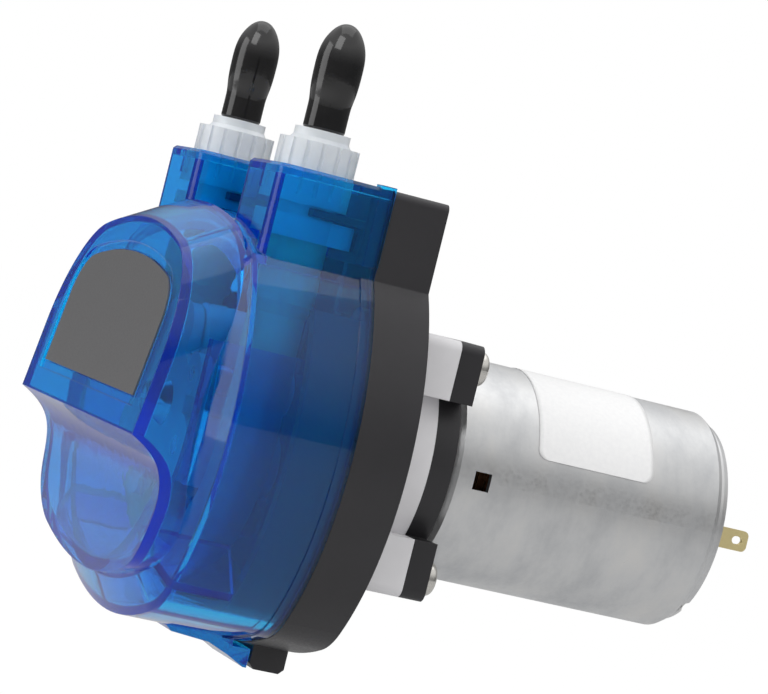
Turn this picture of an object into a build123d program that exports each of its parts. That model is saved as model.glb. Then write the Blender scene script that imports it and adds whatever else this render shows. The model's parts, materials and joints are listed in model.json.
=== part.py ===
from build123d import *
import math
import os

os.makedirs("parts", exist_ok=True)

# Small peristaltic pump head with its gear motor, in millimetres.
# Y is the pump axis: the motor is at +Y, the front of the cover at -Y.
# Z is up, towards the two hose ports. Y = 0 is the rear face of the base.

# Running and seating clearances
RUN = 0.04
CLEAR = 0.3

# Base: a round dish with a square-shouldered top and a flattened bottom
BASE_R = 39.2
BASE_CZ = 0.6
BASE_BOTTOM = -33.8
BASE_BOTTOM_ARC = 75.0
BASE_CORNER = 14.0
BASE_DEPTH = 9.0
BASE_PLATE = 3.0
SHOULDER_X = 29.7
SHOULDER_TOP = 40.0
SHOULDER_CORNER = 1.2
PANEL_X = 27.0
PANEL_Z = 18.0
PANEL_R = 1.5
BOSS_R = 3.4
BOSS_BORE = 1.5
BUSH_BOSS_R = 9.0
BUSH_FRONT = -11.0
BUSH_R = 5.5
BUSH_FLANGE_R = 7.0
BUSH_FLANGE_T = 1.1
WEB_T = 1.6
FOOT_X = 8.0
FOOT_LOW = -37.2
FOOT_FRONT = -5.8
SPIGOT_INSET = 3.0
SPIGOT_WALL = 2.0
SPIGOT_FRONT = -17.7
SPIGOT_TOP = 19.5

# Cover: the transparent shell in front of the base
COVER_INSET = 0.4
COVER_WALL = 2.2
COVER_SIDE_Y = -28.5
COVER_FRONT_Y = -31.8
COVER_BEVEL = 5.5
DOME_ARC = 79.0
DOME_TOP = 32.0
COVER_RIM = 2.2
COVER_RIM_PROUD = 0.3
TAB_FRONT = -20.5

# Nose of the cover: an arched face leaning over a U-shaped scoop
NOSE_X = 33.2
NOSE_TIP_Y = -41.0
NOSE_TIP_Z = -4.0
NOSE_TOP_Y = -37.0
NOSE_TOP_Z = 27.4
NOSE_ARCH_R = 90.0
NOSE_ARCH_CORNER = 17.0
NOSE_RISE = 0.57
SCOOP_Y = -34.8
SCOOP_LOW = -27.6
SCOOP_R = 80.0
SCOOP_CORNER = 14.0
NOSE_BACK = -20.0
NOSE_WALL = 2.3
LABEL_X = 26.0
LABEL_LOW = 1.3
LABEL_TOP = 22.0
LABEL_ARCH_R = 96.0
LABEL_CORNER = 7.0
LABEL_T = 0.8
LABEL_RIM = 1.45
LABEL_STEP = 0.35

# Hose ports
PORT_X = 20.9
PORT_Y = -19.5
BLOCK_IN = 12.0
BLOCK_OUT = 29.5
BLOCK_FRONT = -27.4
BLOCK_WALL = 1.5
BLOCK_LOW = 24.0
BLOCK_LIP = 2.4
BLOCK_LIP_PROUD = 0.4
COLLAR_R = 6.2
COLLAR_LOW = 29.5
COLLAR_TOP = 44.3
NECK_R = 4.3
NECK_TOP = 46.2
FLUTES = 16
FLUTE_R = 0.35
GROOVE_LOW = 33.0
GROOVE_TOP = 34.8
FORK_HALF = 6.7
FORK_BACK = -12.0
FORK_LOW = 28.0
FORK_SLOT = 4.8
FORK_WINDOW = 4.5
FORK_TOP = SHOULDER_TOP - BLOCK_WALL - CLEAR

# Tube and rotor
TUBE_R = 4.0
TUBE_BORE = 2.4
TRACK_R = PORT_X + TUBE_R + CLEAR
TRACK_WALL = 2.0
ROLLER_R = 5.5
ROLLER_L = 11.0
ROLLER_ORBIT = PORT_X - TUBE_R - CLEAR - ROLLER_R
ROTOR_PLATE = 1.8
ROTOR_GAP = 0.4
HUB_R = 4.8
PIN_R = 1.5
SHAFT_R = 3.0

# Gearbox
RING_R = 19.3
EAR_IN = 13.0
EAR_OUT = 20.4
BOX_L = 11.2
PLATE_L = 3.9
MODULE = 0.7
SUN_TEETH = 12
PLANET_TEETH = 15
RING_TEETH = 42
SCREW_XZ = 16.8
GEAR_Y = 3.8
GEAR_L = 5.0

# Motor
CAN_R = 18.0
CAN_WALL = 1.1
CAN_Y0 = BOX_L + PLATE_L
CAN_Y1 = 62.5
MOTOR_Y1 = 64.5
MOTOR_SHAFT_R = 1.585
MAGNET_T = 3.5
AIR_GAP = 0.5
CORE_R = CAN_R - CAN_WALL - MAGNET_T - AIR_GAP
CORE_Y0 = CAN_Y0 + 11.9
CORE_Y1 = CAN_Y1 - 12.5
COIL_R = CORE_R - 4.9
COIL_END = 4.4
BRUSH_Y = CAN_Y1 - 6.5
MOTOR_SCREW_X = 10.0
TERMINAL_X = 11.0
TERMINAL_Z = -0.5
TERMINAL_Y0 = 62.0
TERMINAL_Y1 = 71.6
TERMINAL_W = 3.4
TERMINAL_T = 0.8
TERMINAL_EYE = 1.9


def slab(sketch, y0, y1):
    """A sketch drawn in (x, z), swept from y0 back to y1."""
    return Pos(0, y1, 0) * extrude(Plane.XZ * sketch, amount=y1 - y0)


def disc(r, y0, y1, x=0, z=0):
    return slab(Pos(x, z) * Circle(r), y0, y1)


def ring(r_out, r_in, y0, y1, x=0, z=0):
    return disc(r_out, y0, y1, x, z) - disc(r_in, y0 - 1, y1 + 1, x, z)


def block(x0, x1, y0, y1, z0, z1):
    centre = Pos((x0 + x1) / 2, (y0 + y1) / 2, (z0 + z1) / 2)
    return centre * Box(x1 - x0, y1 - y0, z1 - z0)


def post(r, z0, z1, x, y):
    return Pos(x, y, (z0 + z1) / 2) * Cylinder(r, z1 - z0)


def turned(points, x, y):
    """A profile of (radius, z) points turned about the upright axis at x, y."""
    face = make_face(Plane.XZ * Polyline(*points, close=True))
    return Pos(x, y, 0) * revolve(face, axis=Axis.Z)


def turned_y(points):
    """A profile of (y, radius) points turned about the pump axis."""
    face = make_face(Polyline(*[(r, y) for y, r in points], close=True))
    return revolve(face, axis=Axis.Y)


def save(name, *solids):
    shape = solids[0] if len(solids) == 1 else Compound(children=list(solids))
    export_step(shape, "parts/" + name + ".step")


def spin(shape, angle):
    """Turned about the pump axis."""
    return Rot(0, angle, 0) * shape


# ---------------------------------------------------------------- outlines

def meeting(z1, r1, z2, r2):
    """Right-hand crossing of two circles centred on the Z axis."""
    z = ((r1 ** 2 - r2 ** 2) / (z2 - z1) + z1 + z2) / 2
    return math.sqrt(r1 ** 2 - (z - z1) ** 2), z


def arc_between(a, b, centre_z, r):
    """Arc of a circle centred on the Z axis, on the right-hand side."""
    mid = ((a[0] + b[0]) / 2, (a[1] + b[1]) / 2 - centre_z)
    k = r / math.hypot(*mid)
    return ThreePointArc(a, (mid[0] * k, mid[1] * k + centre_z), b)


def lower_half(start):
    """Right half of the dish outline, from start down to the bottom centre."""
    low_z = BASE_BOTTOM + BASE_BOTTOM_ARC
    r = BASE_CORNER
    cx, cz = meeting(BASE_CZ, BASE_R - r, low_z, BASE_BOTTOM_ARC - r)
    k = BASE_R / (BASE_R - r)
    side = (cx * k, (cz - BASE_CZ) * k + BASE_CZ)
    k = BASE_BOTTOM_ARC / (BASE_BOTTOM_ARC - r)
    under = (cx * k, (cz - low_z) * k + low_z)
    dx, dz = side[0] + under[0] - 2 * cx, side[1] + under[1] - 2 * cz
    k = r / math.hypot(dx, dz)
    corner = ThreePointArc(side, (cx + dx * k, cz + dz * k), under)
    wall = arc_between(start, side, BASE_CZ, BASE_R)
    floor = arc_between(under, (0, BASE_BOTTOM), low_z, BASE_BOTTOM_ARC)
    return [wall, corner, floor]


def mirrored_face(edges):
    return make_face(Curve() + edges + [mirror(edge, Plane.YZ) for edge in edges])


def base_outline():
    x, top, r = SHOULDER_X, SHOULDER_TOP, SHOULDER_CORNER
    join = (x, BASE_CZ + math.sqrt(BASE_R ** 2 - x ** 2))
    s = r * (1 - math.sqrt(0.5))
    edges = [Line((0, top), (x - r, top)), ThreePointArc((x - r, top), (x - s, top - s), (x, top - r)),
             Line((x, top - r), join)]
    return mirrored_face(edges + lower_half(join))


def cover_outline():
    dome_z = DOME_TOP - DOME_ARC
    join = meeting(dome_z, DOME_ARC, BASE_CZ, BASE_R)
    return mirrored_face([arc_between((0, DOME_TOP), join, dome_z, DOME_ARC)] + lower_half(join))


def arch(half, high, corner, crown):
    """Right half of an arch, from the middle of its top to the straight side at half."""
    centre_z = high - crown
    spring = centre_z + math.sqrt((crown - corner) ** 2 - (half - corner) ** 2)
    k = crown / (crown - corner)
    join = ((half - corner) * k, (spring - centre_z) * k + centre_z)
    turn = math.atan2(spring - centre_z, half - corner) / 2
    mid = (half - corner + corner * math.cos(turn), spring + corner * math.sin(turn))
    top = arc_between((0, high), join, centre_z, crown)
    return [top, ThreePointArc(join, mid, (half, spring))], spring


def inset(sketch, amount):
    return offset(sketch, -amount, kind=Kind.INTERSECTION)


# ------------------------------------------------------------------- base

def fork(side):
    """The bracket that holds one hose fitting by its groove."""
    x = side * PORT_X
    half, slot_r, gap = FORK_HALF, FORK_SLOT, FORK_WINDOW
    base_y = 0.5 - BASE_PLATE
    low, high = GROOVE_LOW - 3.0, GROOVE_TOP + 2.2
    back = block(x - half, x + half, FORK_BACK, base_y, FORK_LOW, FORK_TOP)
    window = block(x - gap, x + gap, FORK_BACK - 1, base_y - 2, FORK_LOW + 1.6, GROOVE_LOW - 0.2)
    arm = block(x - half, x + half, PORT_Y - 1.0, FORK_BACK + 1, GROOVE_LOW + CLEAR, GROOVE_TOP - CLEAR)
    slot = post(slot_r, low, high, x, PORT_Y) + block(x - slot_r, x + slot_r, -30.0, PORT_Y, low, high)
    rib = block(x - 0.9, x + 0.9, FORK_BACK + 1, base_y, 20.0, FORK_LOW + 0.5)
    return (back - window) + (arm - slot) + rib


def foot():
    front, low = FOOT_FRONT, FOOT_LOW
    side = Polyline((front, -33.0), (front, low + 0.8), (front + 0.8, low), (-0.8, low), (0, low + 0.8), (0, -33.0),
                    close=True)
    return Pos(-FOOT_X, 0, 0) * extrude(make_face(Plane.YZ * side), amount=2 * FOOT_X)


def four(px, pz):
    return [(x, z) for x in (-px, px) for z in (-pz, pz)]


def base_housing():
    outline = base_outline()
    dish = slab(outline, -BASE_DEPTH, 0)
    dish = dish - slab(inset(outline, SPIGOT_INSET), -BASE_DEPTH - 1, -BASE_PLATE)
    wall = slab(inset(outline, SPIGOT_INSET), SPIGOT_FRONT, -BASE_PLATE)
    wall = wall - slab(inset(outline, SPIGOT_INSET + SPIGOT_WALL), SPIGOT_FRONT - 1, -BASE_PLATE)
    wall = wall - block(-60, 60, -40, -BASE_PLATE, SPIGOT_TOP, 60)
    body = dish + wall + foot()
    body = body + disc(BUSH_BOSS_R, BUSH_FRONT, -1.0)
    for x, z in four(SCREW_XZ, SCREW_XZ):
        body = body + disc(BOSS_R, -BASE_DEPTH, -1.0, x, z)
    for x, z in four(PANEL_X, PANEL_Z):
        body = body + disc(BOSS_R, -BASE_DEPTH - 0.5, -1.0, x, z)
    for side in (-1, 1):
        body = body + fork(side)
    inside = slab(inset(outline, SPIGOT_INSET + 0.5), -BASE_DEPTH, 0)
    web = block(BUSH_BOSS_R - 1, BASE_R, 1.5 - BASE_DEPTH, -1.0, -WEB_T / 2, WEB_T / 2)
    for angle in (0, 90, 180, 270):
        body = body + (spin(web, angle) & inside)
    body = body - disc(BUSH_R, BUSH_FRONT - 1, 1)
    body = body - disc(BUSH_FLANGE_R, BUSH_FRONT - 1, BUSH_FRONT + BUSH_FLANGE_T)
    for x, z in four(SCREW_XZ, SCREW_XZ):
        body = body - disc(BOSS_BORE, 1.0 - BASE_DEPTH, 1, x, z)
    for x, z in four(PANEL_X, PANEL_Z):
        body = body - disc(PANEL_R, 1.0 - BASE_DEPTH, 1, x, z)
    return body


def shaft_bush():
    y0, y1 = BUSH_FRONT, BUSH_FRONT + BUSH_FLANGE_T
    return turned_y([(y0, SHAFT_R + RUN), (y0, BUSH_FLANGE_R), (y1, BUSH_FLANGE_R), (y1, BUSH_R), (0.0, BUSH_R),
                     (0.0, SHAFT_R + RUN)])


# ------------------------------------------------------------------ cover

def nose_outline(top, thin):
    """Front view of the nose: an arch above the tip line and a wide U below it."""
    half = NOSE_X - thin
    upper, high = arch(half, top - thin, NOSE_ARCH_CORNER - thin, NOSE_ARCH_R - thin)
    lower, low = arch(half, -SCOOP_LOW - thin, SCOOP_CORNER - thin, SCOOP_R - thin)
    lower = [mirror(edge, Plane.XZ) for edge in lower]
    return mirrored_face(upper + [Line((half, high), (half, -low))] + lower)


def nose_side(shift):
    """Side view of the nose, drawn in (y, z): leaning face, tip, scoop and lip."""
    lean = (NOSE_TOP_Y - NOSE_TIP_Y) / (NOSE_TOP_Z - NOSE_TIP_Z)
    high = NOSE_TOP_Z + 6.0
    low = SCOOP_LOW - 2.0
    tip = (NOSE_TIP_Y + shift, NOSE_TIP_Z)
    crest = (NOSE_TIP_Y + lean * (high - NOSE_TIP_Z) + shift, high)
    sunk = SCOOP_Y + shift
    drop = NOSE_TIP_Z - low
    lip = (sunk + 1.6, low)
    scoop = Spline(tip, (tip[0] + 2.6, NOSE_TIP_Z - 0.06 * drop), (sunk - 1.4, NOSE_TIP_Z - 0.145 * drop),
                   (sunk - 0.2, NOSE_TIP_Z - 0.27 * drop), (sunk, NOSE_TIP_Z - 0.51 * drop),
                   (sunk + 0.4, NOSE_TIP_Z - 0.74 * drop), lip)
    back = Polyline(lip, (NOSE_BACK, low), (NOSE_BACK, high), crest)
    return make_face(Curve() + [Line(crest, tip), scoop, back])


def nose(thin):
    """The nose as a solid; the hollow inside is the same shape, thinner all round."""
    y_front = -42.5
    y_back = -29.0 + 0.01 * thin
    low = nose_outline(NOSE_TOP_Z - NOSE_RISE * (NOSE_TOP_Y - y_front), thin)
    high = nose_outline(NOSE_TOP_Z + NOSE_RISE * (y_back - NOSE_TOP_Y), thin)
    body = loft([Plane.XZ.offset(-y_front) * low, Plane.XZ.offset(-y_back) * high])
    side = Pos(-50, 0, 0) * extrude(Plane.YZ * nose_side(thin), amount=100)
    return body & side


def port_block(side):
    """Outer box of one port, rounded at its front corners."""
    x0, x1 = BLOCK_IN, BLOCK_OUT
    box = block(x0, x1, BLOCK_FRONT, -BASE_DEPTH, BLOCK_LOW, SHOULDER_TOP)
    front = box.edges().filter_by(Axis.Z).filter_by(lambda e: e.center().Y < BLOCK_FRONT + 0.1)
    box = fillet(front, 2.2)
    box = chamfer(box.edges().filter_by(Axis.Y).filter_by(lambda e: e.center().Z > SHOULDER_TOP - 0.1), 0.5)
    lip_y = -BASE_DEPTH - BLOCK_LIP
    lip = block(x0, x1 + BLOCK_LIP_PROUD, lip_y, -BASE_DEPTH, BLOCK_LOW + 4.0, SHOULDER_TOP + BLOCK_LIP_PROUD)
    box = box + lip
    return box if side > 0 else mirror(box, Plane.YZ)


def port_hollow(side):
    x0, x1 = BLOCK_IN + BLOCK_WALL, BLOCK_OUT - BLOCK_WALL
    hollow = block(x0, x1, BLOCK_FRONT + BLOCK_WALL, 1.0, 21.0, SHOULDER_TOP - BLOCK_WALL)
    slot = post(COLLAR_R + CLEAR, 36.0, 50.0, PORT_X, PORT_Y)
    slot = slot + block(PORT_X - COLLAR_R - CLEAR, PORT_X + COLLAR_R + CLEAR, PORT_Y, 1.0, 36.0, 50.0)
    both = hollow + slot
    return both if side > 0 else mirror(both, Plane.YZ)


def track():
    """The bed that the tube is pressed against, with ribs to the outer wall."""
    y0, y1 = COVER_FRONT_Y + 1.0, -12.5
    bed = ring(TRACK_R + TRACK_WALL, TRACK_R, y0, y1) - block(-60, 60, -60, 0, 0, 60)
    for s in (-1, 1):
        a, b = sorted((s * TRACK_R, s * (TRACK_R + TRACK_WALL)))
        bed = bed + block(a, b, y0, y1, -0.2, 12.0)
    for angle in (42, 90, 138):
        bed = bed + spin(block(TRACK_R + 0.5, 40.0, y0, -18.2, -0.8, 0.8), angle)
    return bed


def cover_tab():
    """The rail under the cover, with the catch that meets the foot of the base."""
    catch = FOOT_FRONT - CLEAR - 0.1
    under = BASE_BOTTOM - 0.4
    behind = -BASE_DEPTH - CLEAR
    side = Polyline((TAB_FRONT, -32.0), (TAB_FRONT, -33.2), (-19.6, -33.9), (-13.2, -34.4), (-9.6, -35.8),
                    (catch - 0.6, FOOT_LOW), (catch, FOOT_LOW), (catch, under), (behind, under), (behind, -32.0),
                    close=True)
    return Pos(-FOOT_X, 0, 0) * extrude(make_face(Plane.YZ * side), amount=2 * FOOT_X)


def label_outline(grow):
    half = LABEL_X + grow
    low = LABEL_LOW - grow
    top, spring = arch(half, LABEL_TOP + grow, LABEL_CORNER + grow, LABEL_ARCH_R + grow)
    return mirrored_face(top + [Polyline((half, spring), (half, low), (0, low))])


def on_face(sketch, depth, out=0.0):
    """A sketch drawn in (x, z) laid on the leaning front face, sunk by depth."""
    lean = math.degrees(math.atan((NOSE_TOP_Y - NOSE_TIP_Y) / (NOSE_TOP_Z - NOSE_TIP_Z)))
    flat = Pos(0, -NOSE_TIP_Z) * sketch
    body = Pos(0, depth, 0) * extrude(Plane.XZ * flat, amount=depth + out)
    return Pos(0, NOSE_TIP_Y, NOSE_TIP_Z) * (Rot(-lean, 0, 0) * body)


def cover_form(thin, back):
    """The cover's outline brought forward to its bevelled front, thinner by thin all round."""
    face = inset(cover_outline(), COVER_INSET + thin)
    taper = math.degrees(math.atan(COVER_BEVEL / (COVER_SIDE_Y - COVER_FRONT_Y)))
    edge = COVER_SIDE_Y + thin * math.tan(math.radians(taper / 2))
    bevel = extrude(Plane.XZ * face, amount=edge - COVER_FRONT_Y - thin, taper=taper)
    return slab(face, edge, back) + Pos(0, edge, 0) * bevel


def cover_shell():
    body = cover_form(0, -BASE_DEPTH) + nose(0)
    rim = inset(cover_outline(), COVER_INSET - COVER_RIM_PROUD)
    body = body + slab(rim, -BASE_DEPTH - COVER_RIM, -BASE_DEPTH)
    for side in (-1, 1):
        body = body + port_block(side)
    body = body - (cover_form(COVER_WALL, 1.0) + nose(NOSE_WALL))
    for side in (-1, 1):
        body = body - port_hollow(side)
    body = body + (track() & cover_form(COVER_WALL / 2, 0))
    body = body + cover_tab()
    body = body - on_face(label_outline(LABEL_RIM), LABEL_STEP, 2.0)
    body = body - on_face(label_outline(0.15), LABEL_T + 0.1, 2.0)
    return body


def nameplate():
    return on_face(label_outline(0.0), LABEL_T + 0.1, -0.1)


# ------------------------------------------------------- fittings and tube

def barbs(profile, low, root, lift, pitch, count):
    """Adds barbs to a profile of (radius, z) points, each sloping down to its edge."""
    for n in range(count):
        z = low + n * pitch
        profile += [(root, z), (root + lift, z + 0.4)]
    return profile


def fitting(side):
    x = side * PORT_X
    profile = [(1.5, 19.0), (2.5, 19.0), (3.0, 21.0), (2.5, 21.4), (2.5, 22.4), (3.0, 24.4), (2.5, 24.8),
               (2.5, COLLAR_LOW), (COLLAR_R, COLLAR_LOW), (COLLAR_R, GROOVE_LOW), (4.5, GROOVE_LOW),
               (4.5, GROOVE_TOP), (COLLAR_R, GROOVE_TOP), (COLLAR_R, COLLAR_TOP), (NECK_R + 0.5, COLLAR_TOP),
               (NECK_R, COLLAR_TOP + 0.7), (NECK_R, NECK_TOP)]
    profile = barbs(profile + [(2.1, NECK_TOP)], NECK_TOP + 3.8, 2.1, 0.6, 2.2, 3)
    profile += [(1.9, 57.2), (1.5, 57.2)]
    body = turned(profile, x, PORT_Y)
    heel = block(x - 5.6, x + 5.6, PORT_Y, FORK_BACK - CLEAR, COLLAR_LOW, GROOVE_LOW)
    edges = heel.edges().filter_by(Axis.Z).filter_by(lambda e: e.center().Y > FORK_BACK - 1)
    heel = fillet(edges, 2.5) - post(2.0, 20.0, 40.0, x, PORT_Y)
    body = body + heel
    for n in range(FLUTES):
        a = 2 * math.pi * (n + 0.5) / FLUTES
        fx, fy = x + COLLAR_R * math.cos(a), PORT_Y + COLLAR_R * math.sin(a)
        body = body - post(FLUTE_R, GROOVE_TOP + 1.2, COLLAR_TOP + 1, fx, fy)
    return body


def pump_tube():
    def run(r, flare):
        bend = revolve(Pos(PORT_X, PORT_Y) * Circle(r), axis=Axis.Y, revolution_arc=180)
        out = bend
        for s in (-1, 1):
            leg = [(0, -0.01), (r, -0.01), (r, 17.5), (flare, 19.5), (flare, 29.5), (0, 29.5)]
            out = out + turned(leg, s * PORT_X, PORT_Y)
        return out
    return run(TUBE_R, 4.7) - run(TUBE_BORE, 3.05)


def hose_cap(side):
    """A dipped vinyl cap: narrow skirt, swollen body and a rounded cone on top."""
    z = NECK_TOP
    skirt = Polyline((0, z), (3.05, z), (3.25, z + 0.4), (3.25, z + 3.6))
    swell = Spline((3.25, z + 3.6), (3.5, z + 6.0), (3.68, z + 9.5), (3.45, z + 12.6), (2.5, z + 14.9), (1.3, z + 16.2),
                   (0, z + 16.6), tangents=[(0, 1), (-1, 0)])
    outline = make_face(Plane.XZ * (Curve() + [skirt, swell, Line((0, z + 16.6), (0, z))]))
    inner = [(0, z - 0.1), (2.95, z - 0.1), (2.95, z + 11.4), (2.0, z + 12.6), (0, z + 12.8)]
    x = side * PORT_X
    return Pos(x, PORT_Y, 0) * revolve(outline, axis=Axis.Z) - turned(inner, x, PORT_Y)


# ------------------------------------------------------------------ rotor

ROTOR_Y0 = PORT_Y - ROLLER_L / 2 - ROTOR_GAP
ROTOR_Y1 = PORT_Y + ROLLER_L / 2 + ROTOR_GAP


def trefoil():
    """Rotor plate outline: three rounded arms at the rollers."""
    shape = Circle(9.5)
    for n in range(3):
        a = math.radians(90 + 120 * n)
        arm = Pos(ROLLER_ORBIT * math.cos(a), ROLLER_ORBIT * math.sin(a)) * Circle(5.1)
        shape = shape + arm
        b = math.radians(30 + 120 * n)
        shape = shape + Pos(11.5 * math.cos(b), 11.5 * math.sin(b)) * Circle(3.4)
    return shape


def roller_at(n):
    a = math.radians(90 + 120 * n)
    return ROLLER_ORBIT * math.cos(a), ROLLER_ORBIT * math.sin(a)


def spacer_at(n):
    a = math.radians(30 + 120 * n)
    return 11.5 * math.cos(a), 11.5 * math.sin(a)


def rotor_plate(y0, y1):
    plate = slab(trefoil(), y0, y1) - disc(SHAFT_R, y0 - 1, y1 + 1)
    for n in range(3):
        x, z = roller_at(n)
        plate = plate - disc(PIN_R, y0 - 1, y1 + 1, x, z)
        x, z = spacer_at(n)
        plate = plate - disc(1.2, y0 - 1, y1 + 1, x, z)
    return plate


def rotor_front():
    return rotor_plate(ROTOR_Y0 - ROTOR_PLATE, ROTOR_Y0)


def rotor_rear():
    plate = rotor_plate(ROTOR_Y1, ROTOR_Y1 + ROTOR_PLATE)
    return plate + ring(HUB_R, SHAFT_R, ROTOR_Y0, ROTOR_Y1 + 0.1)


def roller_pins():
    pins = []
    for n in range(3):
        x, z = roller_at(n)
        pins.append(disc(PIN_R, ROTOR_Y0 - ROTOR_PLATE, ROTOR_Y1 + ROTOR_PLATE, x, z))
    return pins


def spacer_posts():
    posts = []
    for n in range(3):
        x, z = spacer_at(n)
        core = disc(1.2, ROTOR_Y0 - ROTOR_PLATE, ROTOR_Y1 + ROTOR_PLATE, x, z)
        posts.append(core + disc(2.2, ROTOR_Y0, ROTOR_Y1, x, z))
    return posts


def roller(n):
    x, z = roller_at(n)
    body = disc(ROLLER_R, PORT_Y - ROLLER_L / 2, PORT_Y + ROLLER_L / 2, x, z)
    body = chamfer(body.edges(), 0.5)
    return body - disc(PIN_R + RUN, PORT_Y - ROLLER_L, PORT_Y + ROLLER_L, x, z)


def drive_shaft():
    shaft = disc(SHAFT_R, ROTOR_Y0 - ROTOR_PLATE, 1.4)
    return shaft - disc(1.25, ROTOR_Y0 - ROTOR_PLATE - 1, ROTOR_Y0 + 4)


def rotor_screw():
    y = ROTOR_Y0 - ROTOR_PLATE
    head = turned_y([(y - 1.9, 0), (y - 1.9, 1.6), (y - 1.4, 2.6), (y, 3.6), (y, 0)])
    head = head - block(-3, 3, y - 3, y - 1.2, -0.35, 0.35) - block(-0.35, 0.35, y - 3, y - 1.2, -3, 3)
    return head + disc(1.25, y - 0.1, y + 5)


# ---------------------------------------------------------------- gearbox

def tooth_outline(teeth, tip, root, thick_tip, thick_root):
    """Gear outline as a closed polygon; thicknesses are half widths in mm."""
    points = []
    for n in range(teeth):
        mid = 2 * math.pi * n / teeth
        for r, half in ((root, -thick_root), (tip, -thick_tip), (tip, thick_tip), (root, thick_root)):
            a = mid + half / r
            points.append((r * math.cos(a), r * math.sin(a)))
    return make_face(Polyline(*points, close=True))


def outer_gear(teeth):
    pitch = MODULE * teeth / 2
    return tooth_outline(teeth, pitch + 0.75 * MODULE, pitch - 1.1 * MODULE, 0.2, 0.68)


def inner_gear(teeth):
    """The space inside a ring gear, so the teeth are what is left."""
    pitch = MODULE * teeth / 2
    space = tooth_outline(teeth, pitch + 1.0 * MODULE, pitch - 0.7 * MODULE, 0.46, 0.86)
    return Rotation(0, 0, 180 / teeth) * space


CENTRE = MODULE * (SUN_TEETH + PLANET_TEETH) / 2
CARRIER_Y0 = 1.4
CARRIER_Y1 = 3.4


def ear_outline(ring_r):
    shape = Circle(ring_r)
    for sx in (-1, 1):
        for sz in (-1, 1):
            mid = (EAR_IN + EAR_OUT) / 2
            ear = Pos(sx * (mid - 1), sz * (mid - 1)) * Rectangle(EAR_OUT - EAR_IN + 2, EAR_OUT - EAR_IN + 2)
            corner = ear.vertices().filter_by(lambda v: v.X * sx > EAR_OUT - 1 and v.Y * sz > EAR_OUT - 1)
            shape = shape + fillet(corner, 1.6)
    return shape


def screw_holes(y0, y1, r):
    holes = [disc(r, y0, y1, x, z) for x in (-SCREW_XZ, SCREW_XZ) for z in (-SCREW_XZ, SCREW_XZ)]
    return holes[0] + holes[1] + holes[2] + holes[3]


def gearbox_housing():
    body = slab(ear_outline(RING_R), 0, BOX_L)
    body = body - disc(16.0, -1, GEAR_Y - 0.4)
    body = body - slab(inner_gear(RING_TEETH), GEAR_Y - 1, GEAR_Y + GEAR_L + 1)
    body = body - disc(16.0, GEAR_Y + GEAR_L + 0.4, BOX_L + 1)
    return body - screw_holes(-1, BOX_L + 1, 1.7)


def gear_plate():
    y0, y1 = BOX_L, BOX_L + PLATE_L
    body = slab(ear_outline(RING_R - 0.2), y0, y1)
    body = body - disc(5.3, y0 - 1, y1 + 1) - screw_holes(y0 - 1, y1 + 1, 1.7)
    for s in (-1, 1):
        body = body - disc(1.7, y0 - 1, y1 + 1, s * MOTOR_SCREW_X, 0)
        body = body - disc(3.0, y0 - 1, y0 + 2.0, s * MOTOR_SCREW_X, 0)
    return body


def carrier():
    disc_body = disc(12.6, CARRIER_Y0, CARRIER_Y1)
    for n in range(3):
        a = math.radians(90 + 120 * n)
        x, z = CENTRE * math.cos(a), CENTRE * math.sin(a)
        disc_body = disc_body - disc(1.2, 0, 5, x, z)
    return disc_body - disc(MOTOR_SHAFT_R + 0.5, CARRIER_Y0 + 1.0, CARRIER_Y1 + 1)


def carrier_pins():
    pins = []
    for n in range(3):
        a = math.radians(90 + 120 * n)
        x, z = CENTRE * math.cos(a), CENTRE * math.sin(a)
        pins.append(disc(1.2, CARRIER_Y0, GEAR_Y + GEAR_L + 0.6, x, z))
    return pins


def planet(n):
    """A tooth points outwards into a space of the ring, so a space faces a tooth of the sun."""
    a = 90 + 120 * n
    x, z = CENTRE * math.cos(math.radians(a)), CENTRE * math.sin(math.radians(a))
    face = Rotation(0, 0, a) * outer_gear(PLANET_TEETH)
    body = slab(Pos(x, z) * face, GEAR_Y, GEAR_Y + GEAR_L)
    return body - disc(1.2 + RUN, GEAR_Y - 1, GEAR_Y + GEAR_L + 1, x, z)


def sun_gear():
    body = slab(outer_gear(SUN_TEETH), GEAR_Y, GEAR_Y + GEAR_L + 0.6)
    return body - disc(MOTOR_SHAFT_R, GEAR_Y - 1, GEAR_Y + GEAR_L + 2)


def gearbox_screws():
    y = BOX_L + PLATE_L
    screws = []
    for x in (-SCREW_XZ, SCREW_XZ):
        for z in (-SCREW_XZ, SCREW_XZ):
            head = disc(2.75, y, y + 1.9, x, z)
            top = head.edges().filter_by(lambda e: e.center().Y > y + 1)
            head = fillet(top, 0.9)
            head = head - block(x - 1.6, x + 1.6, y + 1.1, y + 3, z - 0.3, z + 0.3)
            head = head - block(x - 0.3, x + 0.3, y + 1.1, y + 3, z - 1.6, z + 1.6)
            screws.append(head + disc(1.5, -7.0, y + 0.1, x, z))
    return screws


def motor_screws():
    screws = []
    for s in (-1, 1):
        x = s * MOTOR_SCREW_X
        head = disc(2.6, BOX_L + 0.4, BOX_L + 2.0, x, 0)
        head = head - block(x - 1.5, x + 1.5, BOX_L, BOX_L + 1.0, -0.3, 0.3)
        screws.append(head + disc(1.5, BOX_L + 1.9, CAN_Y0 + 2.0, x, 0))
    return screws


# ------------------------------------------------------------------ motor

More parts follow.
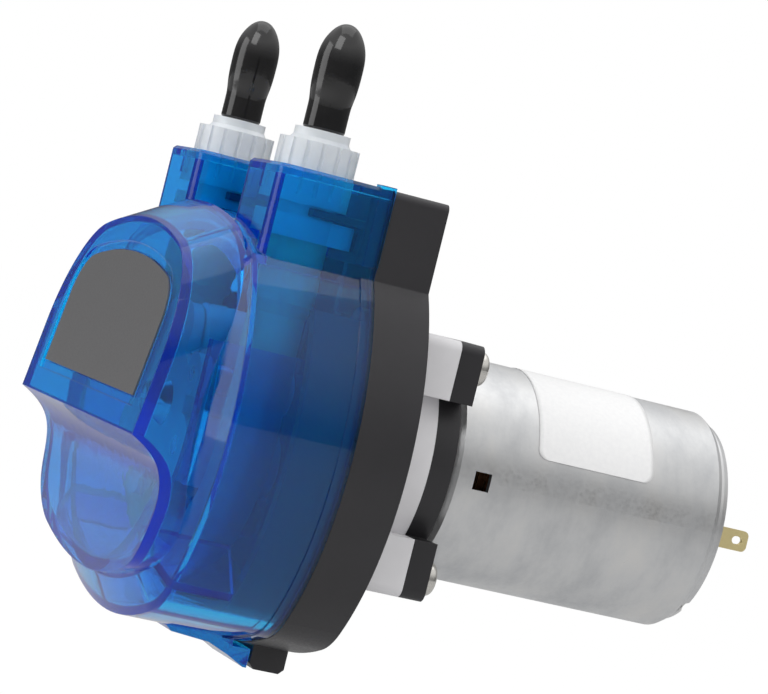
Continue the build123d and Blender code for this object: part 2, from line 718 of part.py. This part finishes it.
def motor_can():
    y0, y1 = CAN_Y0, CAN_Y1
    outer = turned_y([(y0, 0), (y0, CAN_R - 1.8), (y0 + 0.5, CAN_R - 0.7), (y0 + 1.6, CAN_R), (y1 - 0.8, CAN_R),
                      (y1, CAN_R - 0.5), (y1, 0)])
    inner = turned_y([(y0 + 1.3, 0), (y0 + 1.3, CAN_R - 2.6), (y0 + 2.4, CAN_R - CAN_WALL), (y1 + 1, CAN_R - CAN_WALL),
                      (y1 + 1, 0)])
    can = outer - inner - disc(3.6, y0 - 1, y0 + 3)
    for s in (-1, 1):
        can = can - disc(1.5, y0 - 1, y0 + 3, s * MOTOR_SCREW_X, 0)
        a, b = sorted((s * 14.0, s * 20.0))
        can = can - block(a, b, 19.4, 22.2, -1.6, 1.3)
    return can


def front_bush():
    y = CAN_Y0
    return turned_y([(y - 2.6, MOTOR_SHAFT_R + RUN), (y - 2.6, 5.0), (y, 5.0), (y, 3.6), (y + 4.0, 3.6),
                     (y + 4.0, MOTOR_SHAFT_R + RUN)])


def end_bell():
    y0, y1 = CAN_Y1 - 2.7, MOTOR_Y1
    r = CAN_R - CAN_WALL
    body = turned_y([(y0, 0), (y0, r), (y1 - 1.2, r), (y1 - 0.35, r - 0.35), (y1, r - 1.2), (y1, 6.2), (y1 + 1.6, 5.6),
                     (y1 + 1.6, 0)])
    body = body - disc(14.6, y0 - 1, y1 - 1.6) - disc(3.2, y0 - 1, y1 + 0.8)
    for angle in (52, 232):
        body = body - spin(block(r - 1.3, r + 2, CAN_Y1, y1 + 1, -1.4, 1.4), angle)
    for s in (-1, 1):
        half = TERMINAL_T / 2 + 0.05
        x, z0, z1 = s * TERMINAL_X, TERMINAL_Z - TERMINAL_W / 2 - 0.1, TERMINAL_Z + TERMINAL_W / 2 + 0.1
        body = body - block(x - half, x + half, y0 - 1, y1 + 1, z0, z1)
    return body


def rear_bush():
    return ring(3.2, MOTOR_SHAFT_R + RUN, MOTOR_Y1 - 3.6, MOTOR_Y1 + 0.8)


def terminals():
    lugs = []
    for s in (-1, 1):
        mid, length = (TERMINAL_Y0 + TERMINAL_Y1) / 2, TERMINAL_Y1 - TERMINAL_Y0
        plan = Pos(mid, TERMINAL_Z) * Rectangle(length, TERMINAL_W)
        plan = fillet(plan.vertices().filter_by(lambda v: v.X > mid), 0.9)
        plan = plan - Pos(TERMINAL_Y1 - TERMINAL_EYE, TERMINAL_Z) * SlotOverall(TERMINAL_EYE, 1.3)
        lugs.append(Pos(s * TERMINAL_X - TERMINAL_T / 2, 0, 0) * extrude(Plane.YZ * plan, amount=TERMINAL_T))
    return lugs


def magnets():
    arcs = []
    for s in (0, 180):
        r = CAN_R - CAN_WALL
        y0, y1 = CORE_Y0 - 2.0, CORE_Y1 + 2.0
        shell = ring(r, r - MAGNET_T, y0, y1)
        wedge = make_face(Polyline((0, 0), (2 * r, 1.2 * r), (2 * r, 3 * r), (-2 * r, 3 * r), (-2 * r, 1.2 * r), close=True))
        arcs.append(spin(shell & slab(wedge, y0 - 1, y1 + 1), s))
    return arcs


def armature_core():
    shape = Circle(CORE_R)
    for n in range(5):
        slot = Pos(CORE_R - 1.4, 0) * Rectangle(4.0, 1.5) + Pos(COIL_R, 0) * Circle(2.9)
        shape = shape - Rotation(0, 0, 72 * n) * slot
    return slab(shape, CORE_Y0, CORE_Y1) - disc(MOTOR_SHAFT_R, CORE_Y0 - 1, CORE_Y1 + 1)


def armature_windings():
    r = CORE_R - 1.3
    front = [(-3.8, 3.4), (-COIL_END, 5.0), (-4.0, r - 1.6), (-2.4, r), (0, r - 0.2), (0, 3.4)]
    rear = [(0, 3.4), (0, r - 0.2), (2.4, r), (4.0, r - 1.6), (COIL_END, 6.0), (3.8, 3.4)]
    body = turned_y([(CORE_Y0 + y, x) for y, x in front]) + turned_y([(CORE_Y1 + y, x) for y, x in rear])
    for n in range(5):
        body = body + spin(disc(2.75, CORE_Y0 - 0.5, CORE_Y1 + 0.5, COIL_R, 0), 72 * n)
    return body


def commutator():
    y0, y1 = CORE_Y1 + COIL_END + 0.1, CAN_Y1 - 3.3
    body = ring(4.4, MOTOR_SHAFT_R, y0, y1)
    for n in range(5):
        body = body - spin(block(3.6, 5.0, y0 - 1, y1 - 0.6, -0.2, 0.2), 72 * n + 36)
    return body + ring(5.2, MOTOR_SHAFT_R, y0, y0 + 0.7)


def brushes():
    pair = []
    for s in (-1, 1):
        a, b = sorted((s * 4.7, s * 9.0))
        pair.append(block(a, b, BRUSH_Y, BRUSH_Y + 2.6, -2.0, 2.0))
    return pair


def brush_arms():
    pair = []
    for s in (-1, 1):
        a, b = sorted((s * 9.0, s * 9.5))
        arm = block(a, b, BRUSH_Y - 0.4, BRUSH_Y + 5.4, -2.0, 2.0)
        c, d = sorted((s * 9.2, s * 10.6))
        pair.append(arm + block(c, d, BRUSH_Y + 4.9, BRUSH_Y + 5.4, -2.0, 1.0))
    return pair


def motor_shaft():
    shaft = disc(MOTOR_SHAFT_R, GEAR_Y - 0.2, MOTOR_Y1 + 0.4)
    return shaft


save("base_housing", base_housing())
save("shaft_bush", shaft_bush())
save("cover_shell", cover_shell())
save("nameplate", nameplate())
save("fitting_left", fitting(-1))
save("fitting_right", fitting(1))
save("pump_tube", pump_tube())
save("cap_left", hose_cap(-1))
save("cap_right", hose_cap(1))
save("rotor_front_plate", rotor_front())
save("rotor_rear_plate", rotor_rear())
save("roller_pins", *roller_pins())
save("spacer_posts", *spacer_posts())
for n in range(3):
    save("roller_" + str(n + 1), roller(n))
save("drive_shaft", drive_shaft())
save("rotor_screw", rotor_screw())
save("planet_carrier", carrier())
save("carrier_pins", *carrier_pins())
for n in range(3):
    save("planet_" + str(n + 1), planet(n))
save("sun_gear", sun_gear())
save("gearbox_housing", gearbox_housing())
save("gear_plate", gear_plate())
save("gearbox_screws", *gearbox_screws())
save("motor_screws", *motor_screws())
save("motor_can", motor_can())
save("front_bush", front_bush())
save("end_bell", end_bell())
save("rear_bush", rear_bush())
save("terminals", *terminals())
save("magnets", *magnets())
save("armature_core", armature_core())
save("armature_windings", armature_windings())
save("commutator", commutator())
save("brushes", *brushes())
save("brush_arms", *brush_arms())
save("motor_shaft", motor_shaft())
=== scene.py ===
"""Looks of the peristaltic pump head: materials, trim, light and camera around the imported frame."""
import json
import math

import bmesh
import bpy
from mathutils import Matrix, Vector

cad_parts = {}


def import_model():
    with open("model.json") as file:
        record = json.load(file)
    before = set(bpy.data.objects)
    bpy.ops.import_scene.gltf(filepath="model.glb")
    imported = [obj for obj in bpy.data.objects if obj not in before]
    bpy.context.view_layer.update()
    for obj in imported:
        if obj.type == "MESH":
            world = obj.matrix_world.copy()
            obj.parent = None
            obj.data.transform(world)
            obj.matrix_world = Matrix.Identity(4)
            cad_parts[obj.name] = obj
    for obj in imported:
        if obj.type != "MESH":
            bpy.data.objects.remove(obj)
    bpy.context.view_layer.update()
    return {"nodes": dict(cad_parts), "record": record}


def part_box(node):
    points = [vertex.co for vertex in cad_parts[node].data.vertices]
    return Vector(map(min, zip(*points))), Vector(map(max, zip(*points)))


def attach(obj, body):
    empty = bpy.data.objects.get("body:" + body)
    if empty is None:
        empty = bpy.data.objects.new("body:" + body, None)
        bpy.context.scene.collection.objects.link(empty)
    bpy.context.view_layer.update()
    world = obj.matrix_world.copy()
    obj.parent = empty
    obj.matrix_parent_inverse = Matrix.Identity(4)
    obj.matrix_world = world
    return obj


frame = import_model()
nodes = frame["nodes"]
MM = 0.001

# Camera: the photograph's angle, seen with a long lens
AZIMUTH = math.radians(69.32)
ELEVATION = math.radians(0.96)
ROLL = math.radians(13.95)
DISTANCE = 545.31 * MM
AIM_RIGHT = 9.66 * MM
AIM_UP = 14.54 * MM
LENS = 161.03
SENSOR = 36.0

# Floor: a grey table for the lamps, which glows white where the camera or clear plastic sees it
FLOOR_Z = -0.12
FLOOR_SIZE = 12.0
FLOOR_GREY = 0.48
FLOOR_GLOW = 1.04
GLOW_SHARE = 0.93

# Studio: how bright its walls and its ceiling are in reflections, between which heights of the
# direction one turns into the other, and the level of the soft light
WALL_LEVEL = 0.13
CEILING_LEVEL = 0.8
WALL_TOP = 0.1
CEILING_EDGE = 0.6
SOFT_LEVEL = 0.92

# Softboxes: name, place, width and height in metres, power in watts
LAMP_AIM = (0, 0.01, 0.01)
LAMPS = [
    ("front", (-0.15, -1.1, 0.2), 0.7, 0.9, 3.2),
    ("key", (0.5, -0.6, 0.75), 0.6, 0.6, 2.4),
    ("top", (-0.1, 0.05, 0.9), 0.9, 0.9, 1.7),
]

# Clear blue polycarbonate: tint of a wall's faces, then absorption and a faint haze in its depth,
# with their densities per metre
WALL_TINT = (0.04, 0.62, 1.0)
DEPTH_TINT = (0.03, 0.775, 0.995)
DEPTH_DENSITY = 390.0
HAZE_TINT = (0.0, 0.1, 1.0)
HAZE_DENSITY = 90.0
CLEAR_EDGE = 0.2 * MM

# Opaque mouldings: broken edges, and the spark-eroded grain's size and height
MOULD_EDGE = 0.3 * MM
GRAIN_SIZE = 0.3 * MM
GRAIN_HEIGHT = 0.007 * MM

# Blank sticker on the can: start behind the can's front, length along it, start angle, wrap and film
STICKER_START = 14.3 * MM
STICKER_LENGTH = 20.3 * MM
STICKER_ANGLE = math.radians(17.5)
STICKER_WRAP = math.radians(92.0)
STICKER_CORNER = 1.6 * MM
STICKER_THICK = 0.12 * MM
STICKER_LIFT = 0.01 * MM
STICKER_ROWS = 60
STICKER_COLUMNS = 24


# ------------------------------------------------------------- material kit

def tree(name):
    material = bpy.data.materials.new(name)
    material.use_nodes = True
    return material, material.node_tree, material.node_tree.nodes["Principled BSDF"]


def put(shader, **values):
    """Sets sockets by name, with _ for a space."""
    for name, value in values.items():
        shader.inputs[name.replace("_", " ")].default_value = value


def colour(r, g, b):
    return (r, g, b, 1.0)


def coordinates(nt, stretch=(1, 1, 1)):
    source = nt.nodes.new("ShaderNodeTexCoord")
    mapping = nt.nodes.new("ShaderNodeMapping")
    mapping.inputs["Scale"].default_value = stretch
    nt.links.new(source.outputs["Object"], mapping.inputs["Vector"])
    return mapping.outputs["Vector"]


def noise(nt, scale, detail=3.0, rough=0.55, stretch=(1, 1, 1)):
    node = nt.nodes.new("ShaderNodeTexNoise")
    put(node, Scale=scale, Detail=detail, Roughness=rough)
    nt.links.new(coordinates(nt, stretch), node.inputs["Vector"])
    return node.outputs["Fac"]


def ramp(nt, value, stops):
    node = nt.nodes.new("ShaderNodeValToRGB")
    elements = node.color_ramp.elements
    while len(elements) < len(stops):
        elements.new(0.5)
    for element, (place, shade) in zip(elements, stops):
        element.position = place
        element.color = colour(*shade)
    nt.links.new(value, node.inputs["Fac"])
    return node.outputs["Color"]


def spread(nt, value, low, high, start, end):
    """From low to high as the value goes from start to end."""
    node = nt.nodes.new("ShaderNodeMapRange")
    put(node, From_Min=start, From_Max=end, To_Min=low, To_Max=high)
    nt.links.new(value, node.inputs["Value"])
    return node.outputs["Result"]


def blend(nt, share, low, high):
    """From low to high as the share goes from 0 to 1; each of the two is a number or a socket."""
    node = nt.nodes.new("ShaderNodeMapRange")
    nt.links.new(share, node.inputs["Value"])
    for name, level in (("To Min", low), ("To Max", high)):
        if isinstance(level, float):
            node.inputs[name].default_value = level
        else:
            nt.links.new(level, node.inputs[name])
    return node.outputs["Result"]


def seen_directly(nt):
    """1 for rays from the camera and through clear plastic, 0 for the rest."""
    paths = nt.nodes.new("ShaderNodeLightPath")
    either = nt.nodes.new("ShaderNodeMath")
    either.operation = "MAXIMUM"
    nt.links.new(paths.outputs["Is Camera Ray"], either.inputs[0])
    nt.links.new(paths.outputs["Is Transmission Ray"], either.inputs[1])
    return either.outputs[0]


def bump(nt, shader, value, height, strength=1.0, under=None):
    """Relief of that height in metres; under is another relief it lies on."""
    node = nt.nodes.new("ShaderNodeBump")
    put(node, Strength=strength, Distance=height)
    nt.links.new(value, node.inputs["Height"])
    if under is not None:
        nt.links.new(under, node.inputs["Normal"])
    nt.links.new(node.outputs["Normal"], shader.inputs["Normal"])
    return node.outputs["Normal"]


def soft_edges(nt, radius):
    """Sharp moulded edges catch the light as if broken by that radius."""
    node = nt.nodes.new("ShaderNodeBevel")
    node.samples = 4
    put(node, Radius=radius)
    return node.outputs["Normal"]


# ---------------------------------------------------------------- materials

def clear_blue():
    """Clear blue polycarbonate, deeper in its thick edges, with faint flow waves."""
    material, nt, shader = tree("clear_blue")
    put(shader, Base_Color=colour(*WALL_TINT), Transmission_Weight=0.98, IOR=1.49, Roughness=0.015)
    absorb = nt.nodes.new("ShaderNodeVolumeAbsorption")
    put(absorb, Color=colour(*DEPTH_TINT), Density=DEPTH_DENSITY)
    haze = nt.nodes.new("ShaderNodeVolumeScatter")
    put(haze, Color=colour(*HAZE_TINT), Density=HAZE_DENSITY)
    both = nt.nodes.new("ShaderNodeAddShader")
    nt.links.new(absorb.outputs["Volume"], both.inputs[0])
    nt.links.new(haze.outputs["Volume"], both.inputs[1])
    nt.links.new(both.outputs["Shader"], nt.nodes["Material Output"].inputs["Volume"])
    flow = noise(nt, 90.0, 2.0, 0.4)
    bump(nt, shader, flow, 0.05 * MM, 0.35, soft_edges(nt, CLEAR_EDGE))
    return material


def moulded(name, base, rough, tone=0.1):
    """Opaque moulded plastic with a fine spark-eroded grain and faint flow marks."""
    material, nt, shader = tree(name)
    flow = noise(nt, 60.0, 4.0, 0.6)
    dark = tuple(c * (1 - tone) for c in base)
    light = tuple(min(1.0, c * (1 + tone)) for c in base)
    nt.links.new(ramp(nt, flow, [(0.3, dark), (0.7, light)]), shader.inputs["Base Color"])
    grain = noise(nt, 1.0 / GRAIN_SIZE, 2.0, 0.5)
    nt.links.new(spread(nt, grain, rough - 0.05, rough + 0.07, 0.35, 0.65), shader.inputs["Roughness"])
    bump(nt, shader, grain, GRAIN_HEIGHT, 1.0, soft_edges(nt, MOULD_EDGE))
    put(shader, IOR=1.5, Specular_IOR_Level=0.45)
    return material


def natural_nylon():
    """Undyed nylon: white, and a little see-through."""
    material, nt, shader = tree("natural_nylon")
    cloud = noise(nt, 220.0, 3.0, 0.5)
    base = (0.9, 0.94, 0.98)
    dark = tuple(c * 0.93 for c in base)
    nt.links.new(ramp(nt, cloud, [(0.35, dark), (0.65, base)]), shader.inputs["Base Color"])
    put(shader, Transmission_Weight=0.35, IOR=1.5, Roughness=0.3, Subsurface_Weight=0.35,
        Subsurface_Radius=(1.0, 1.0, 1.1), Subsurface_Scale=1.6 * MM)
    bump(nt, shader, noise(nt, 900.0, 2.0), 0.02 * MM, 0.6)
    return material


def vinyl():
    """Glossy black dipped vinyl, slightly wavy."""
    material, nt, shader = tree("black_vinyl")
    soft = noise(nt, 140.0, 3.0, 0.5)
    nt.links.new(ramp(nt, soft, [(0.3, (0.006, 0.006, 0.0065)), (0.7, (0.012, 0.0115, 0.012))]),
                 shader.inputs["Base Color"])
    nt.links.new(spread(nt, noise(nt, 420.0, 3.0), 0.07, 0.15, 0.3, 0.7), shader.inputs["Roughness"])
    put(shader, IOR=1.53, Specular_IOR_Level=0.7)
    bump(nt, shader, noise(nt, 170.0, 2.0, 0.4), 0.12 * MM, 0.4)
    return material


def soft_tube():
    """Pale amber thermoplastic elastomer that lets some light through."""
    material, nt, shader = tree("soft_tube")
    cloud = noise(nt, 120.0, 3.0)
    nt.links.new(ramp(nt, cloud, [(0.3, (0.88, 0.83, 0.55)), (0.7, (0.95, 0.9, 0.64))]),
                 shader.inputs["Base Color"])
    put(shader, Roughness=0.4, Transmission_Weight=0.3, IOR=1.42)
    bump(nt, shader, noise(nt, 700.0, 2.0), 0.02 * MM, 0.5)
    return material


def metal(name, base, rough, streak=(40, 900, 40), relief=0.004, spots=0.1):
    """Bare or plated metal with fine tool lines and a little mottling."""
    material, nt, shader = tree(name)
    lines = noise(nt, 1.0, 3.0, 0.6, streak)
    patch = noise(nt, 130.0, 4.0, 0.6)
    dark = tuple(c * (1 - spots) for c in base)
    nt.links.new(ramp(nt, patch, [(0.3, dark), (0.7, base)]), shader.inputs["Base Color"])
    nt.links.new(spread(nt, lines, rough - 0.07, rough + 0.08, 0.3, 0.7), shader.inputs["Roughness"])
    put(shader, Metallic=1.0)
    bump(nt, shader, lines, relief * MM)
    return material


def zinc_can():
    """Deep-drawn can, zinc plated: satin, faintly crystalline, cloudy, with drawing lines along it."""
    material, nt, shader = tree("zinc_can")
    drawn = noise(nt, 1.0, 3.0, 0.6, (1400, 30, 1400))
    flecks = nt.nodes.new("ShaderNodeTexVoronoi")
    put(flecks, Scale=1500.0)
    nt.links.new(coordinates(nt), flecks.inputs["Vector"])
    cloud = noise(nt, 1.0, 5.0, 0.62, (55, 110, 55))
    shades = [(0.3, (0.6, 0.61, 0.625)), (0.52, (0.72, 0.725, 0.73)), (0.7, (0.77, 0.765, 0.755))]
    nt.links.new(ramp(nt, cloud, shades), shader.inputs["Base Color"])
    stain = nt.nodes.new("ShaderNodeMath")
    stain.operation = "ADD"
    nt.links.new(spread(nt, flecks.outputs["Distance"], -0.05, 0.07, 0.0, 0.8), stain.inputs[0])
    nt.links.new(spread(nt, cloud, 0.47, 0.31, 0.32, 0.68), stain.inputs[1])
    nt.links.new(stain.outputs[0], shader.inputs["Roughness"])
    put(shader, Metallic=1.0)
    under = bump(nt, shader, drawn, 0.007 * MM, 0.6)
    under = bump(nt, shader, cloud, 0.06 * MM, 0.5, under)
    bump(nt, shader, flecks.outputs["Distance"], 0.006 * MM, 0.6, under)
    return material


def plate_finish():
    """Dark grey inlay with a fine silk-screened grain."""
    material, nt, shader = tree("plate_finish")
    grain = noise(nt, 3200.0, 2.0, 0.5)
    nt.links.new(ramp(nt, grain, [(0.35, (0.1, 0.099, 0.102)), (0.65, (0.113, 0.112, 0.116))]),
                 shader.inputs["Base Color"])
    nt.links.new(spread(nt, grain, 0.28, 0.4, 0.35, 0.65), shader.inputs["Roughness"])
    put(shader, IOR=1.5, Specular_IOR_Level=0.6)
    bump(nt, shader, grain, 0.003 * MM)
    return material


def paper():
    """White sticker film with nothing printed on it."""
    material, nt, shader = tree("sticker_film")
    fibre = noise(nt, 1500.0, 3.0, 0.5)
    nt.links.new(ramp(nt, fibre, [(0.3, (0.83, 0.83, 0.835)), (0.7, (0.87, 0.87, 0.87))]),
                 shader.inputs["Base Color"])
    put(shader, Roughness=0.4, IOR=1.45)
    bump(nt, shader, noise(nt, 90.0, 2.0), 0.05 * MM, 0.4)
    return material


FINISH = {
    "base_black": moulded("charcoal_abs", (0.027, 0.026, 0.029), 0.4),
    "cover_blue": clear_blue(),
    "plate_grey": plate_finish(),
    "fitting_white": natural_nylon(),
    "tube_tan": soft_tube(),
    "cap_black": vinyl(),
    "rotor_white": moulded("rotor_nylon", (0.8, 0.81, 0.8), 0.4, tone=0.05),
    "roller_white": moulded("roller_acetal", (0.86, 0.86, 0.84), 0.3, tone=0.05),
    "gear_white": moulded("gear_acetal", (0.76, 0.75, 0.7), 0.35),
    "gearbox_white": moulded("gearbox_nylon", (0.83, 0.82, 0.84), 0.42, tone=0.06),
    "plate_black": moulded("flange_nylon", (0.028, 0.027, 0.03), 0.4),
    "can_steel": zinc_can(),
    "steel": metal("ground_steel", (0.6, 0.6, 0.6), 0.25),
    "screw_steel": metal("plated_screw", (0.74, 0.72, 0.68), 0.22, (300, 300, 300)),
    "core_steel": metal("laminations", (0.3, 0.3, 0.31), 0.45, (10, 2500, 10), 0.02),
    "bronze": metal("sintered_bronze", (0.55, 0.38, 0.2), 0.5, (900, 900, 900)),
    "brass": metal("stamped_brass", (1.0, 0.86, 0.46), 0.48, (400, 60, 60)),
    "copper": metal("enamelled_copper", (0.7, 0.33, 0.16), 0.3, (10, 1800, 10), 0.03),
    "magnet": metal("ferrite", (0.09, 0.09, 0.1), 0.6, (700, 700, 700)),
    "carbon": moulded("carbon_brush", (0.02, 0.02, 0.02), 0.5),
}


def dress_nodes():
    """Gives each CAD node the finish of its material slot."""
    for part in frame["record"]["subparts"]:
        materials = nodes[part["node"]].data.materials
        materials.clear()
        materials.append(FINISH[part["material_slot"]])


# ------------------------------------------------------------------- pieces

def mesh_piece(name, bm, material, body):
    mesh = bpy.data.meshes.new(name)
    bm.to_mesh(mesh)
    bm.free()
    for face in mesh.polygons:
        face.use_smooth = True
    piece = bpy.data.objects.new(name, mesh)
    bpy.context.scene.collection.objects.link(piece)
    mesh.materials.append(material)
    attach(piece, body)
    return piece


def sticker():
    """Blank white label, rolled round the motor can, its corners rounded by trimming the end rows."""
    low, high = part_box("motor_can")
    radius = high.x
    height = radius * STICKER_WRAP
    bm = bmesh.new()
    grid = []
    for i in range(STICKER_ROWS + 1):
        up = height * (0.5 - 0.5 * math.cos(math.pi * i / STICKER_ROWS))
        past = max(0.0, STICKER_CORNER - min(up, height - up))
        trim = STICKER_CORNER - math.sqrt(max(0.0, STICKER_CORNER ** 2 - past ** 2))
        angle = STICKER_ANGLE + up / radius
        r = radius + STICKER_LIFT
        row = []
        for j in range(STICKER_COLUMNS + 1):
            y = low.y + STICKER_START + trim + (STICKER_LENGTH - 2 * trim) * j / STICKER_COLUMNS
            row.append(bm.verts.new((r * math.cos(angle), y, r * math.sin(angle))))
        grid.append(row)
    for row, above in zip(grid, grid[1:]):
        for j in range(STICKER_COLUMNS):
            bm.faces.new((row[j], above[j], above[j + 1], row[j + 1]))
    bmesh.ops.recalc_face_normals(bm, faces=bm.faces)
    piece = mesh_piece("motor_sticker", bm, paper(), "base")
    solid = piece.modifiers.new("thickness", "SOLIDIFY")
    solid.thickness = STICKER_THICK
    solid.offset = 1.0


# -------------------------------------------------------------- stage, light

def stage():
    """Grey to the lamps and in gloss, nearly white where it is seen directly."""
    bpy.ops.mesh.primitive_plane_add(size=FLOOR_SIZE, location=(0, 0, FLOOR_Z))
    floor = bpy.context.object
    floor.name = "floor"
    material, nt, shader = tree("pale_floor")
    put(shader, Base_Color=colour(FLOOR_GREY, FLOOR_GREY, FLOOR_GREY), Roughness=0.8)
    glow = nt.nodes.new("ShaderNodeEmission")
    put(glow, Color=colour(1, 1, 1), Strength=FLOOR_GLOW)
    part = nt.nodes.new("ShaderNodeMath")
    part.operation = "MULTIPLY"
    part.inputs[1].default_value = GLOW_SHARE
    nt.links.new(seen_directly(nt), part.inputs[0])
    mix = nt.nodes.new("ShaderNodeMixShader")
    nt.links.new(part.outputs[0], mix.inputs["Fac"])
    nt.links.new(shader.outputs["BSDF"], mix.inputs[1])
    nt.links.new(glow.outputs["Emission"], mix.inputs[2])
    nt.links.new(mix.outputs["Shader"], nt.nodes["Material Output"].inputs["Surface"])
    floor.data.materials.append(material)


def world():
    """White where the camera or clear plastic sees it; in gloss, dim walls under a bright ceiling."""
    place = bpy.data.worlds.new("studio")
    bpy.context.scene.world = place
    place.use_nodes = True
    nt = place.node_tree
    back = nt.nodes["Background"]
    put(back, Color=colour(1, 1, 1))
    paths = nt.nodes.new("ShaderNodeLightPath")
    source = nt.nodes.new("ShaderNodeTexCoord")
    height = nt.nodes.new("ShaderNodeSeparateXYZ")
    nt.links.new(source.outputs["Generated"], height.inputs["Vector"])
    mirrored = spread(nt, height.outputs["Z"], WALL_LEVEL, CEILING_LEVEL, WALL_TOP, CEILING_EDGE)
    unseen = blend(nt, paths.outputs["Is Glossy Ray"], SOFT_LEVEL, mirrored)
    nt.links.new(blend(nt, seen_directly(nt), unseen, 1.0), back.inputs["Strength"])


def softbox(name, place, width, height, power):
    light = bpy.data.lights.new(name, "AREA")
    light.shape = "RECTANGLE"
    light.size = width
    light.size_y = height
    light.energy = power
    lamp = bpy.data.objects.new(name, light)
    bpy.context.scene.collection.objects.link(lamp)
    lamp.location = place
    lamp.rotation_euler = (Vector(LAMP_AIM) - Vector(place)).to_track_quat("-Z", "Y").to_euler()


def camera():
    """Looks from the photograph's angle, rolled about its own axis and moved sideways to its framing."""
    back = Vector((math.sin(AZIMUTH) * math.cos(ELEVATION), -math.cos(AZIMUTH) * math.cos(ELEVATION),
                   math.sin(ELEVATION)))
    level = Vector((math.cos(AZIMUTH), math.sin(AZIMUTH), 0.0))
    plumb = back.cross(level)
    right = math.cos(ROLL) * level + math.sin(ROLL) * plumb
    up = math.cos(ROLL) * plumb - math.sin(ROLL) * level
    data = bpy.data.cameras.new("photo_view")
    data.sensor_width = SENSOR
    data.lens = LENS
    data.clip_start = 0.01
    view = bpy.data.objects.new("photo_view", data)
    bpy.context.scene.collection.objects.link(view)
    turn = Matrix((right, up, back)).transposed().to_4x4()
    place = back * DISTANCE + right * AIM_RIGHT + up * AIM_UP
    view.matrix_world = Matrix.Translation(place) @ turn
    bpy.context.scene.camera = view


dress_nodes()
sticker()
stage()
world()
for lamp in LAMPS:
    softbox(*lamp)
camera()

# Light crosses several clear walls, twice, before it comes back to the camera
scene = bpy.context.scene
scene.view_settings.view_transform = "Standard"
scene.cycles.max_bounces = 24
scene.cycles.transmission_bounces = 20
scene.cycles.transparent_max_bounces = 16
scene.cycles.volume_bounces = 8
